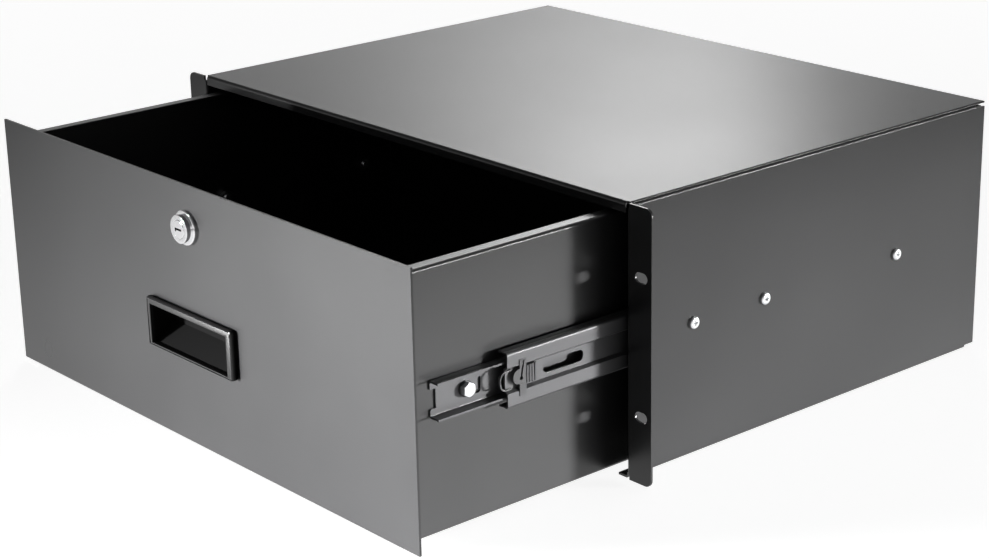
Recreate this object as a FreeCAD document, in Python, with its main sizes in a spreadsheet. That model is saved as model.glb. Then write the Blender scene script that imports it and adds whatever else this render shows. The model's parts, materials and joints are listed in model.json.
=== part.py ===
# Sliding drawer for a 19-inch rack: a steel case with rack ears, and a steel drawer on ball slides.
# Millimetres. X runs to the right, Y into the rack, Z up. The origin is the centre of the ears'
# hole pattern, on the ears' front face. The drawer stands open by drawer_open.
import FreeCAD, Part
import math
import os
import re
import Sketcher

V = FreeCAD.Vector
document = FreeCAD.newDocument("SlidingRackDrawer")

SIZES = {
    # rack ears
    "rack_width": 482.6, "ear_reach": 19.8, "ear_height": 177.0, "ear_corner": 5.0, "slot_inset": 8.75,
    "slot_rise": 88.9, "slot_length": 10.3, "slot_width": 6.8,
    # case
    "case_depth": 336.0, "case_sheet": 1.5, "case_bend": 2.4,
    "side_height": 175.8, "side_lift": -0.2, "top_flange": 12.0, "bottom_flange": 9.0,
    "flange_setback": 0.5, "corner_relief": 3.5, "rear_notch": 9.0, "rear_flange": 12.0, "rear_clearance": 0.8,
    "cover_sheet": 1.2, "cover_lip": 6.8, "cover_edge": 1.0, "lip_clearance": 1.0,
    # drawer
    "drawer_open": 162.5, "panel_gap": 0.5, "panel_height": 173.6, "panel_top_gap": 0.5,
    "panel_sheet": 1.5, "panel_bend": 2.25, "return_depth": 10.0, "return_drop": 1.2, "return_inset": 15.5,
    "drawer_sheet": 1.2, "drawer_room": 5.0, "wall_clearance": 2.8, "floor_clearance": 1.7,
    "wall_flange": 8.5, "front_tab": 10.0, "back_tab": 10.0, "drawer_bend": 2.0,
    # ball slides
    "slide_thickness": 12.7, "slide_setback": 20.0, "slide_room": 16.0, "rail_sheet": 1.2,
    "outer_height": 45.0, "outer_reach": 10.4, "middle_height": 34.6, "middle_reach": 9.9,
    "middle_room": 0.9, "middle_lead": 12.25, "middle_share": 0.62, "recess_depth": 2.5,
    "recess_half": 6.4, "shoulder_run": 1.6, "middle_slot_start": 29.5, "middle_slot_length": 32.4,
    "middle_slot_width": 7.3, "inner_height": 23.2, "inner_reach": 8.3, "inner_lead": 0.5,
    "inner_notch": 4.0, "inner_notch_width": 12.0, "hook_slit_start": 35.2, "hook_slit_width": 2.2,
    "hook_slit_height": 9.8, "hook_slit_foot": 4.2, "hook_slit_lift": -0.4, "rail_bend": 1.8,
    "race_depth": 0.3,
    # ball cages
    "cage_sheet": 0.5, "cage_gap": 0.2, "ball_play": 0.1, "ball_pitch": 9.0, "cage_margin": 6.0,
    "outer_ball_depth": 6.2, "outer_cage_length": 100.0, "outer_cage_closed": 113.9,
    "outer_cage_reach": 9.4, "outer_cage_share": 0.31, "inner_ball_depth": 6.9,
    "inner_cage_length": 110.0, "inner_cage_closed": 108.6, "inner_cage_reach": 10.2,
    "inner_cage_share": 0.81,
    # clip and bow at the front of each middle rail
    "clip_start": 4.2, "clip_length": 18.0, "clip_height": 11.0, "clip_lift": 0.9,
    "clip_thickness": 2.8, "clip_round": 4.7, "clip_neck": 9.0, "clip_tab": 5.2,
    "clip_tab_reach": 3.2, "clip_tab_thickness": 0.5, "clip_slit": 1.2, "clip_eye": 1.2,
    "clip_eye_drop": 1.3, "bow_reach": 5.0, "bow_strip": 0.8, "bow_tail": 4.0, "bow_width": 1.6,
    # rear buffers
    "buffer_gap": 1.3, "buffer_length": 10.0, "buffer_height": 13.0, "buffer_thickness": 2.9,
    # fasteners
    "case_screw_first": 35.5, "hole_grid": 32.0, "case_screw_shank": 4.0, "case_screw_length": 5.0,
    "case_screw_head": 8.0, "case_screw_head_height": 2.4, "cross_width": 1.1, "cross_span": 4.6,
    "cross_depth": 1.6, "drawer_screw_first": 26.0, "drawer_screw_middle": 143.0,
    "drawer_screw_inset": 29.0, "drawer_screw_shank": 5.0, "hex_across": 8.0,
    "hex_head_height": 3.5, "thread_past_nut": 1.0, "washer_width": 10.0, "washer_sheet": 1.0,
    "nut_height": 4.0, "thread_play": 0.05, "hole_play": 0.25,
    # pull handle
    "bezel_width": 95.0, "bezel_height": 33.1, "bezel_top": 4.6, "bezel_proud": 4.5,
    "bezel_corner": 2.0, "mouth_width": 85.0, "mouth_height": 26.3, "mouth_shift": -0.5,
    "cup_depth": 18.0, "cup_wall": 1.5, "cup_rise": 11.0, "cup_clearance": 0.3,
    "snap_lug": 1.2, "snap_lug_length": 5.0, "snap_lug_height": 10.0, "snap_gap": 0.2,
    # lock
    "lock_drop": 27.4, "lock_ring": 22.6, "lock_proud": 6.1, "lock_step": 3.8, "lock_face": 18.4,
    "lock_body": 18.6, "lock_flats": 16.4, "lock_depth": 16.0, "plug_width": 12.0,
    "plug_play": 0.05, "plug_proud": 0.4, "keyway_width": 1.4, "keyway_length": 7.0,
    "keyway_depth": 8.0, "lock_nut_across": 22.0, "lock_nut_height": 3.5, "cam_sheet": 1.6,
    "cam_width": 10.0, "cam_clearance": 1.6, "cam_step": 14.6, "cam_behind": 2.7, "cam_tail": 7.0,
    "cam_screw_shank": 4.0, "cam_screw_head": 8.0, "cam_screw_head_height": 2.4,
    "cam_screw_depth": 8.0, "tip_room": 1.0,
}

sheet = document.addObject("Spreadsheet::Sheet", "Sizes")
for row, (name, value) in enumerate(SIZES.items(), start=1):
    sheet.set(f"A{row}", name)
    sheet.set(f"B{row}", str(value))
    sheet.setAlias(f"B{row}", name)
document.recompute()


def rule(text):
    """An expression in which each size is read from the sheet."""
    return re.sub(r"[a-z_]+", lambda word: f"Sizes.{word.group()}" if word.group() in SIZES
                  else word.group(), str(text))


def number(text):
    """The value that an expression has now."""
    value = sheet.evalExpression(rule(text))
    return float(getattr(value, "Value", value))


def bind(thing, prop, text):
    thing.setExpression(prop, rule(text))


# ---- places that more than one piece shares ----
CASE_SIDE = "(rack_width / 2 - ear_reach)"
CASE_INNER = f"({CASE_SIDE} - case_sheet)"
CASE_TOP = "(side_height / 2 + side_lift)"
CASE_BOTTOM = "(side_lift - side_height / 2)"
COVER_TOP = f"({CASE_TOP} + cover_sheet)"
LIP_LOW = f"({COVER_TOP} - cover_lip)"
PANEL_BACK = "(0 - panel_gap - drawer_open)"
PANEL_FRONT = f"({PANEL_BACK} - panel_sheet)"
PANEL_TOP = f"({CASE_TOP} - panel_top_gap)"
PANEL_BOTTOM = f"({PANEL_TOP} - panel_height)"
DRAWER_SIDE = f"({CASE_INNER} - slide_thickness)"
DRAWER_INNER = f"({DRAWER_SIDE} - drawer_sheet)"
DRAWER_LENGTH = "(panel_gap + case_depth - case_sheet - drawer_room)"
DRAWER_REAR = f"({PANEL_BACK} + {DRAWER_LENGTH})"
WALL_TOP = f"({LIP_LOW} - wall_clearance)"
FLOOR_LOW = f"({CASE_BOTTOM} + case_sheet + floor_clearance)"
SLIDE_LENGTH = "(case_depth - slide_setback - slide_room)"
MIDDLE_FRONT = "(slide_setback - middle_lead - middle_share * drawer_open)"
INNER_FRONT = "(slide_setback - inner_lead - drawer_open)"
MIDDLE_FACE = "(rail_sheet + middle_room)"
OUTER_RACE = "(outer_height / 2 - rail_sheet)"
MIDDLE_RACE = "(middle_height / 2 - rail_sheet)"
OUTER_BALLS = f"(({OUTER_RACE} + middle_height / 2) / 2)"
INNER_BALLS = f"(({MIDDLE_RACE} + inner_height / 2) / 2)"
OUTER_BALL = f"(({OUTER_RACE} - middle_height / 2) / 2 + race_depth - ball_play)"
INNER_BALL = f"(({MIDDLE_RACE} - inner_height / 2) / 2 + race_depth - ball_play)"
CASE_SCREWS = ["case_screw_first", "(case_screw_first + 2 * hole_grid)",
               "(case_screw_first + 6 * hole_grid)"]
DRAWER_SCREWS = ["drawer_screw_first", "drawer_screw_middle",
                 f"({SLIDE_LENGTH} - drawer_screw_inset)"]
CUP_HALF = "(mouth_width / 2 + cup_wall)"
CUP_TOP = "cup_wall"
CUP_BOTTOM = "(0 - mouth_height - cup_wall)"
LOCK_RISE = f"({PANEL_TOP} - lock_drop)"
CAM_REACH = f"({CASE_TOP} - cam_clearance - {LOCK_RISE})"


def inward(depth):
    """X of a point that lies depth inside the right wall of the case."""
    return f"({CASE_INNER} - ({depth}))"


# ---- ways of making a piece ----
PLANES = {"X": "YZ_Plane", "Y": "XZ_Plane", "Z": "XY_Plane"}
pieces = []


def new_body(label):
    piece = document.addObject("PartDesign::Body", label)
    piece.Label = label
    pieces.append(piece)
    return piece


def new_sketch(body, axis, start):
    """A sketch across an axis, at a distance along it. Across X it reads (Y, Z), across Y
    (X, Z) and across Z (X, Y)."""
    sketch = body.newObject("Sketcher::SketchObject", body.Label + "_sketch")
    plane = next(each for each in body.Origin.OriginFeatures if each.Role == PLANES[axis])
    sketch.AttachmentSupport = [(plane, "")]
    sketch.MapMode = "FlatFace"
    bind(sketch, ".AttachmentOffset.Base.z", f"0 - ({start})" if axis == "Y" else start)
    return sketch


def draw_outline(sketch, corners):
    """A closed outline. A corner is (u, v), or (u, v, radius) where it is rounded."""
    spots = [V(number(corner[0]), number(corner[1]), 0) for corner in corners]
    ends = []
    for index, corner in enumerate(corners):
        if len(corner) == 2:
            ends.append([corner])
            continue
        ends.append([])
        for other in (corners[index - 1], corners[(index + 1) % len(corners)]):
            run_u = f"(({other[0]}) - ({corner[0]}))"
            run_v = f"(({other[1]}) - ({corner[1]}))"
            run = f"sqrt({run_u} * {run_u} + {run_v} * {run_v})"
            ends[-1].append((f"({corner[0]}) + ({corner[2]}) * {run_u} / {run}",
                             f"({corner[1]}) + ({corner[2]}) * {run_v} / {run}"))
    first = sketch.GeometryCount
    stops = [[V(number(u), number(v), 0) for u, v in pair] for pair in ends]
    chain = []
    for index in range(len(corners)):
        after = (index + 1) % len(corners)
        line = sketch.addGeometry(Part.LineSegment(stops[index][-1], stops[after][0]), False)
        chain.append((line, 1, 2))
        if len(ends[after]) == 2:
            way_in = (stops[after][0] - spots[after]).normalize()
            way_out = (stops[after][1] - spots[after]).normalize()
            half = (way_in + way_out).normalize()
            radius = (stops[after][0] - spots[after]).Length * math.tan(way_in.getAngle(half))
            centre = spots[after] + half * math.hypot(radius, (stops[after][0] - spots[after]).Length)
            middle = centre - half * radius
            arc = sketch.addGeometry(Part.Arc(stops[after][0], middle, stops[after][1]), False)
            turned = sketch.getPoint(arc, 1).distanceToPoint(stops[after][0]) > 1e-6
            chain.append((arc, 2, 1) if turned else (arc, 1, 2))
    for here, there in zip(chain, chain[1:] + chain[:1]):
        sketch.addConstraint(Sketcher.Constraint("Coincident", here[0], here[2], there[0], there[1]))
    place = 0
    for index in range(len(corners)):
        after = (index + 1) % len(corners)
        for end, (u, v) in ((1, ends[index][-1]), (2, ends[after][0])):
            if end == 2 and len(ends[after]) == 1:
                continue
            fix_point(sketch, chain[place][0], end, u, v)
        place += 1
        if len(ends[after]) == 2:
            arc = chain[place][0]
            radius = sketch.Geometry[arc].Radius
            held = sketch.addConstraint(Sketcher.Constraint("Radius", arc, radius))
            u, v, reach = corners[after]
            if abs(radius - number(reach)) < 1e-6:
                bind(sketch, f"Constraints[{held}]", reach)
            place += 1
    return first


def fix_point(sketch, part, end, u, v):
    for kind, text in (("DistanceX", u), ("DistanceY", v)):
        held = sketch.addConstraint(Sketcher.Constraint(kind, -1, 1, part, end, number(text)))
        bind(sketch, f"Constraints[{held}]", text)


def draw_circle(sketch, u, v, radius):
    spot = V(number(u), number(v), 0)
    circle = sketch.addGeometry(Part.Circle(spot, V(0, 0, 1), number(radius)), False)
    fix_point(sketch, circle, 3, u, v)
    held = sketch.addConstraint(Sketcher.Constraint("Radius", circle, number(radius)))
    bind(sketch, f"Constraints[{held}]", radius)


def rectangle(left, right, low, high, radius=None):
    corners = [(left, low), (right, low), (right, high), (left, high)]
    return [corner + (radius,) for corner in corners] if radius else corners


def end_round(width):
    """Corner radius of a slot's round end, a hair short of half its width."""
    return f"({width} / 2.001)"


def extrude(body, kind, axis, start, length, outlines=(), circles=()):
    """Adds or cuts a prism that runs from start in the positive direction of the axis."""
    sketch = new_sketch(body, axis, start)
    for outline in outlines:
        draw_outline(sketch, outline)
    for circle in circles:
        draw_circle(sketch, *circle)
    feature = body.newObject(f"PartDesign::{kind}", f"{body.Label}_{kind.lower()}")
    feature.Profile = sketch
    bind(feature, "Length", length)
    feature.Reversed = (axis == "Y") == (kind == "Pad")
    sketch.Visibility = False
    body.Tip = feature
    return feature


def pad(body, axis, start, length, *outlines, circles=()):
    return extrude(body, "Pad", axis, start, length, outlines, circles)


def pocket(body, axis, start, length, *outlines, circles=()):
    before = solid_volume(body)
    feature = extrude(body, "Pocket", axis, start, length, outlines, circles)
    assert solid_volume(body) < before, f"a pocket of {body.Label} cuts nothing"
    return feature


def solid_volume(body):
    document.recompute()
    return body.Shape.Volume


def place(piece, **where):
    for axis, text in where.items():
        bind(piece, f".Placement.Base.{axis}", text)


def left_twin(piece):
    """The left piece is the right one, mirrored across the middle of the case."""
    twin = document.addObject("Part::Mirroring", piece.Label.replace("right", "left"))
    twin.Label = piece.Label.replace("right", "left")
    twin.Source = piece
    twin.Normal = V(1, 0, 0)
    pieces.append(twin)
    return twin


def new_group(label, solids):
    """Like pieces that share one node, each a solid of its own."""
    group = document.addObject("Part::Feature", label)
    group.Label = label
    group.Shape = Part.makeCompound(solids)
    group.Placement = FreeCAD.Placement()
    pieces.append(group)
    return group


def hexagon(across, depth):
    """A hexagonal prism along +X from the origin, with two flats level."""
    corner = across / 2 / math.cos(math.pi / 6)
    spots = [V(0, corner * math.cos(turn * math.pi / 3), corner * math.sin(turn * math.pi / 3))
             for turn in range(7)]
    return Part.Face(Part.makePolygon(spots)).extrude(V(depth, 0, 0))


# ---- case: sides, cover and back ----
def side_panel():
    """A folded side: ear, wall, and narrow flanges along the top and the bottom."""
    body = new_body("right_side_panel")
    flange_start = "(case_bend + corner_relief)"
    inner_bend = "(case_bend - case_sheet)"
    top_tip = f"({CASE_SIDE} - top_flange)"
    bottom_tip = f"({CASE_SIDE} - bottom_flange)"
    pad(body, "Y", flange_start, f"case_depth - rear_notch - {flange_start}", [
        (bottom_tip, CASE_BOTTOM), (CASE_SIDE, CASE_BOTTOM, "case_bend"),
        (CASE_SIDE, CASE_TOP, "case_bend"), (top_tip, CASE_TOP),
        (top_tip, f"{CASE_TOP} - case_sheet"),
        (CASE_INNER, f"{CASE_TOP} - case_sheet", inner_bend),
        (CASE_INNER, f"{CASE_BOTTOM} + case_sheet", inner_bend),
        (bottom_tip, f"{CASE_BOTTOM} + case_sheet")])
    wall_low = f"({CASE_BOTTOM} + case_bend)"
    wall_rise = "side_height - 2 * case_bend"
    pad(body, "Y", "flange_setback", f"{flange_start} - flange_setback", [
        (bottom_tip, CASE_BOTTOM), (CASE_SIDE, CASE_BOTTOM, "case_bend"),
        (CASE_SIDE, f"{wall_low} + case_sheet"), (CASE_INNER, f"{wall_low} + case_sheet"),
        (CASE_INNER, f"{CASE_BOTTOM} + case_sheet", inner_bend),
        (bottom_tip, f"{CASE_BOTTOM} + case_sheet")])
    stub = f"({CASE_INNER} + case_bend + case_sheet)"
    pad(body, "Z", wall_low, wall_rise, [
        (CASE_INNER, "0", "case_bend"), (stub, "0"), (stub, "case_sheet"),
        (CASE_SIDE, "case_sheet", inner_bend), (CASE_SIDE, "case_depth"), (CASE_INNER, "case_depth")])
    pad(body, "Y", "0", "case_sheet", [
        (f"{CASE_INNER} + case_bend", "0 - ear_height / 2"),
        ("rack_width / 2", "0 - ear_height / 2", "ear_corner"),
        ("rack_width / 2", "ear_height / 2", "ear_corner"),
        (f"{CASE_INNER} + case_bend", "ear_height / 2")])
    slot_centre = "(rack_width / 2 - slot_inset)"
    slots = [rectangle(f"{slot_centre} - slot_length / 2", f"{slot_centre} + slot_length / 2",
                       f"{turn} * slot_rise / 2 - slot_width / 2",
                       f"{turn} * slot_rise / 2 + slot_width / 2", end_round("slot_width"))
             for turn in (-1, 1)]
    pocket(body, "Y", "0", "case_sheet", *slots)
    holes = [(f"slide_setback + {along}", "0", "case_screw_shank / 2 + hole_play")
             for along in CASE_SCREWS]
    pocket(body, "X", CASE_INNER, "case_sheet", circles=holes)
    return body


def top_cover():
    """The cover lies on the side flanges, and its front edge is turned down."""
    body = new_body("top_cover")
    lip_half = f"({CASE_INNER} - lip_clearance)"
    pad(body, "X", f"0 - {lip_half}", f"2 * {lip_half}", [
        ("0", LIP_LOW), ("0", COVER_TOP, "2 * cover_sheet"), ("case_depth", COVER_TOP),
        ("case_depth", CASE_TOP), ("cover_sheet", CASE_TOP, "cover_sheet"),
        ("cover_sheet", LIP_LOW)])
    plate_start = "(2 * cover_sheet)"
    pad(body, "Y", plate_start, f"case_depth - {plate_start}", [
        (f"0 - {CASE_SIDE}", CASE_TOP), (CASE_SIDE, CASE_TOP),
        (CASE_SIDE, COVER_TOP, "cover_edge"), (f"0 - {CASE_SIDE}", COVER_TOP, "cover_edge")])
    return body


def rear_panel():
    """The back is a tray: a plate with a flange bent forwards along each side wall."""
    body = new_body("rear_panel")
    inner = f"({CASE_INNER} - case_sheet)"
    front = "(case_depth - rear_flange)"
    inside = "(case_depth - case_sheet)"
    low = f"({CASE_BOTTOM} + case_bend)"
    high = f"({CASE_TOP} - case_sheet - rear_clearance)"
    bend = "(case_bend - case_sheet)"
    pad(body, "Z", low, f"{high} - {low}", [
        (f"0 - {CASE_INNER}", front), (f"0 - {CASE_INNER}", "case_depth", "case_bend"),
        (CASE_INNER, "case_depth", "case_bend"), (CASE_INNER, front), (inner, front),
        (inner, inside, bend), (f"0 - {inner}", inside, bend), (f"0 - {inner}", front)])
    return body


# ---- ball slides ----
def shifted(height, offset):
    """Half height of a corner of the recess, on a surface that lies offset inside the face."""
    return f"({height} + ({offset}) * tan(atan(recess_depth / shoulder_run) / 2))"


def hat_outline(near, far, top_near, top_far, tip, bend=None):
    """A strip that follows the recess: a flanged channel, open towards the drawer. near and far
    are the offsets of its two faces from the outer face of the middle rail."""
    knee = "(recess_half + shoulder_run)"
    rounded = (bend,) if bend else ()
    def half(turn, offset, top, order):
        level = f"({MIDDLE_FACE} + ({offset}))"
        deep = f"({MIDDLE_FACE} + recess_depth + ({offset}))"
        spots = [(inward(tip), f"{turn} * ({top})"),
                 (inward(level), f"{turn} * ({top})") + (rounded if offset == near else ()),
                 (inward(level), f"{turn} * {shifted(knee, offset)}"),
                 (inward(deep), f"{turn} * {shifted('recess_half', offset)}")]
        return spots[::order]
    return (half(1, near, top_near, 1) + half(-1, near, top_near, -1)
            + half(-1, far, top_far, 1) + half(1, far, top_far, -1))


def race_circles(balls, ball, depth):
    return [(inward(depth), f"{turn} * {balls}", f"{ball} + ball_play") for turn in (-1, 1)]


def outer_rail():
    """The cabinet member: a channel screwed to the side wall, open towards the drawer."""
    body = new_body("right_outer_rail")
    half = "(outer_height / 2)"
    web = inward("rail_sheet")
    pad(body, "Y", "0", SLIDE_LENGTH, [
        (inward("outer_reach"), half), (inward("0"), half, "rail_bend"),
        (inward("0"), f"0 - {half}", "rail_bend"), (inward("outer_reach"), f"0 - {half}"),
        (inward("outer_reach"), f"0 - {OUTER_RACE}"),
        (web, f"0 - {OUTER_RACE}", "rail_bend - rail_sheet"),
        (web, OUTER_RACE, "rail_bend - rail_sheet"), (inward("outer_reach"), OUTER_RACE)])
    pocket(body, "Y", "0", SLIDE_LENGTH,
           circles=race_circles(OUTER_BALLS, OUTER_BALL, "outer_ball_depth"))
    holes = [(along, "0", "case_screw_shank / 2 + thread_play") for along in CASE_SCREWS]
    pocket(body, "X", web, "rail_sheet", circles=holes)
    place(body, y="slide_setback")
    return body


def middle_rail():
    """The middle member: a channel with a recess pressed along its web."""
    body = new_body("right_middle_rail")
    pad(body, "Y", "0", SLIDE_LENGTH, hat_outline(
        "0", "rail_sheet", "middle_height / 2", MIDDLE_RACE, "middle_reach", "rail_bend"))
    pocket(body, "Y", "0", SLIDE_LENGTH,
           circles=race_circles(OUTER_BALLS, OUTER_BALL, "outer_ball_depth"))
    pocket(body, "Y", "0", SLIDE_LENGTH,
           circles=race_circles(INNER_BALLS, INNER_BALL, "inner_ball_depth"))
    slots = [rectangle(start, f"({start} + middle_slot_length)", "0 - middle_slot_width / 2",
                       "middle_slot_width / 2", end_round("middle_slot_width"))
             for start in ("middle_slot_start",
                           f"({SLIDE_LENGTH} - middle_slot_start - middle_slot_length)")]
    web = inward(f"{MIDDLE_FACE} + recess_depth + rail_sheet")
    pocket(body, "X", web, "rail_sheet", *slots)
    place(body, y=MIDDLE_FRONT)
    return body


def inner_rail():
    """The drawer member: a channel screwed to the drawer, open towards the case."""
    body = new_body("right_inner_rail")
    half = "(inner_height / 2)"
    race = f"({half} - rail_sheet)"
    tip = inward("slide_thickness - inner_reach")
    back = inward("slide_thickness")
    web = inward("slide_thickness - rail_sheet")
    pad(body, "Y", "0", SLIDE_LENGTH, [
        (tip, half), (back, half, "rail_bend"), (back, f"0 - {half}", "rail_bend"),
        (tip, f"0 - {half}"), (tip, f"0 - {race}"),
        (web, f"0 - {race}", "rail_bend - rail_sheet"), (web, race, "rail_bend - rail_sheet"),
        (tip, race)])
    pocket(body, "Y", "0", SLIDE_LENGTH,
           circles=race_circles(INNER_BALLS, INNER_BALL, "inner_ball_depth"))
    pocket(body, "X", back, "rail_sheet", rectangle(
        "0 - inner_notch", "inner_notch", "0 - inner_notch_width / 2", "inner_notch_width / 2"))
    slit_end = "(hook_slit_start + hook_slit_width)"
    slit_top = "(hook_slit_lift + hook_slit_height / 2)"
    slit_low = "(hook_slit_lift - hook_slit_height / 2)"
    foot = f"({slit_end} - hook_slit_foot)"
    rounded = end_round("hook_slit_width")
    pocket(body, "X", back, "rail_sheet", [
        ("hook_slit_start", slit_top, rounded), (slit_end, slit_top, rounded),
        (slit_end, slit_low, "hook_slit_width"), (foot, slit_low, rounded),
        (foot, f"{slit_low} + hook_slit_width", rounded),
        ("hook_slit_start", f"{slit_low} + hook_slit_width")])
    holes = [(along, "0", "drawer_screw_shank / 2 + hole_play") for along in DRAWER_SCREWS]
    pocket(body, "X", back, "rail_sheet", circles=holes)
    place(body, y=INNER_FRONT)
    return body


def ball_cage(label, near, balls, ball, depth, reach, length, y):
    """A thin strip bent round the rail, with a hole for each ball."""
    body = new_body(label)
    outside = f"({balls} + cage_sheet / 2)"
    inside = f"({balls} - cage_sheet / 2)"
    pad(body, "Y", "0", length, hat_outline(
        near, f"({near} + cage_sheet)", outside, inside, reach))
    hole = pocket(body, "Z", f"0 - {outside}", f"2 * {outside}",
                  circles=[(inward(depth), "cage_margin", f"{ball} + ball_play")])
    row = body.newObject("PartDesign::LinearPattern", label + "_holes")
    row.Originals = [hole]
    row.Direction = (next(each for each in body.Origin.OriginFeatures if each.Role == "Y_Axis"), [""])
    bind(row, "Occurrences", ball_count(length))
    bind(row, "Length", f"ball_pitch * ({ball_count(length)} - 1)")
    body.Tip = row
    place(body, y=y)
    return body


def ball_count(length):
    return f"(floor(({length} - 2 * cage_margin) / ball_pitch) + 1)"


def ball_rows(label, balls, ball, depth, length, y):
    spots = [V(number(inward(depth)),
               number(y) + number("cage_margin") + number("ball_pitch") * index,
               turn * number(balls))
             for turn in (-1, 1) for index in range(round(number(ball_count(length))))]
    return new_group(label, [Part.makeSphere(number(ball), spot) for spot in spots])


def rail_clip():
    """A moulded clip in the recess of the middle rail. Two tabs hold it on the rail's face, and a
    slit that ends in an eye lets its round nose give way."""
    body = new_body("right_rail_clip")
    start = inward(f"{MIDDLE_FACE} + recess_depth")
    face = inward(MIDDLE_FACE)
    low = "(clip_lift - clip_height / 2)"
    high = "(clip_lift + clip_height / 2)"
    nose = "(clip_start + clip_round)"
    pad(body, "X", start, "clip_thickness", rectangle(
        nose, "clip_start + clip_length", low, high))
    pad(body, "X", start, "clip_thickness", circles=[(nose, "clip_lift", "clip_round")])
    tab = ("clip_neck", "clip_neck + clip_tab")
    tab_end = "(recess_half + shoulder_run + clip_tab_reach)"
    pad(body, "X", face, "clip_tab_thickness", rectangle(*tab, f"0 - {tab_end}", tab_end))
    neck = f"({face} - {start} + clip_tab_thickness)"
    pad(body, "X", start, neck, rectangle(*tab, low, high))
    slit = "(clip_neck + clip_tab / 4)"
    eye = "(clip_lift - clip_eye_drop)"
    pocket(body, "X", start, neck, rectangle(
        f"{slit} - clip_slit / 2", f"{slit} + clip_slit / 2", eye, high))
    pocket(body, "X", start, neck, circles=[(slit, eye, "clip_eye")])
    place(body, y=MIDDLE_FRONT)
    return body


def front_bow():
    """A bent strip that stands in front of the middle rail and meets the drawer member."""
    body = new_body("right_front_bow")
    high = "(recess_half - bow_strip / 4)"
    inside = f"({high} - bow_strip)"
    tip = "(0 - bow_reach)"
    inner_tip = f"({tip} + bow_strip)"
    pad(body, "X", inward(f"{MIDDLE_FACE} + recess_depth"), "bow_width", [
        ("bow_tail", f"0 - {high}"), (tip, f"0 - {high}", "bow_reach"), (tip, high, "bow_reach"),
        ("bow_tail", high), ("bow_tail", inside),
        (inner_tip, inside, "bow_reach - bow_strip"),
        (inner_tip, f"0 - {inside}", "bow_reach - bow_strip"), ("bow_tail", f"0 - {inside}")])
    place(body, y=MIDDLE_FRONT)
    return body


def rear_buffer():
    """A rubber block at the back of the cabinet member, which stops the middle rail."""
    body = new_body("right_rear_buffer")
    start = f"(slide_setback - middle_lead + {SLIDE_LENGTH} + buffer_gap)"
    thick = "buffer_thickness"
    pad(body, "X", inward(f"rail_sheet + {thick}"), thick, rectangle(
        "0", "buffer_length", "0 - buffer_height / 2", "buffer_height / 2", "buffer_length / 5"))
    place(body, y=start)
    return body


# ---- drawer ----
def drawer_tray():
    """Floor and side walls from one sheet. The walls have a top flange, and tabs at the front
    that are welded to the front panel."""
    body = new_body("drawer_tray")
    inner_bend = "(drawer_bend - drawer_sheet)"
    tip = f"({DRAWER_SIDE} - wall_flange)"
    under = f"({WALL_TOP} - drawer_sheet)"
    floor = f"({FLOOR_LOW} + drawer_sheet)"
    right = [(DRAWER_SIDE, FLOOR_LOW, "drawer_bend"), (DRAWER_SIDE, WALL_TOP, "drawer_bend"),
             (tip, WALL_TOP), (tip, under), (DRAWER_INNER, under, inner_bend),
             (DRAWER_INNER, floor, inner_bend)]
    left = [(f"0 - {corner[0]}",) + corner[1:] for corner in reversed(right)]
    pad(body, "Y", PANEL_BACK, f"{DRAWER_LENGTH} - drawer_sheet", right + left)
    tab_tip = f"({DRAWER_SIDE} - front_tab)"
    bounds = (f"{FLOOR_LOW} + 2 * drawer_bend", f"{WALL_TOP} - 2 * drawer_bend")
    for edges in ((tab_tip, DRAWER_SIDE), (f"0 - {DRAWER_SIDE}", f"0 - {tab_tip}")):
        pad(body, "Y", PANEL_BACK, "drawer_sheet", rectangle(*edges, *bounds))
    holes = [(f"{INNER_FRONT} + {along}", "0", "drawer_screw_shank / 2 + hole_play")
             for along in DRAWER_SCREWS]
    for start in (DRAWER_INNER, f"0 - {DRAWER_SIDE}"):
        pocket(body, "X", start, "drawer_sheet", circles=holes)
    return body


def drawer_back():
    """The back wall, with a top flange and a tab along each side wall."""
    body = new_body("drawer_back")
    inside = f"({DRAWER_REAR} - drawer_sheet)"
    flange = f"({DRAWER_REAR} - wall_flange)"
    half = f"({DRAWER_SIDE} - wall_flange)"
    pad(body, "Y", inside, "drawer_sheet", rectangle(
        f"0 - {DRAWER_SIDE}", DRAWER_SIDE, FLOOR_LOW, WALL_TOP, "drawer_bend"))
    pad(body, "Z", f"{WALL_TOP} - drawer_sheet", "drawer_sheet", rectangle(
        f"0 - {half}", half, flange, DRAWER_REAR))
    tab = f"({inside} - back_tab)"
    for edges in ((f"{DRAWER_INNER} - drawer_sheet", DRAWER_INNER),
                  (f"0 - {DRAWER_INNER}", f"drawer_sheet - {DRAWER_INNER}")):
        pad(body, "Z", f"{FLOOR_LOW} + 2 * drawer_bend",
            f"{WALL_TOP} - {FLOOR_LOW} - 4 * drawer_bend", rectangle(*edges, tab, DRAWER_REAR))
    return body


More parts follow.
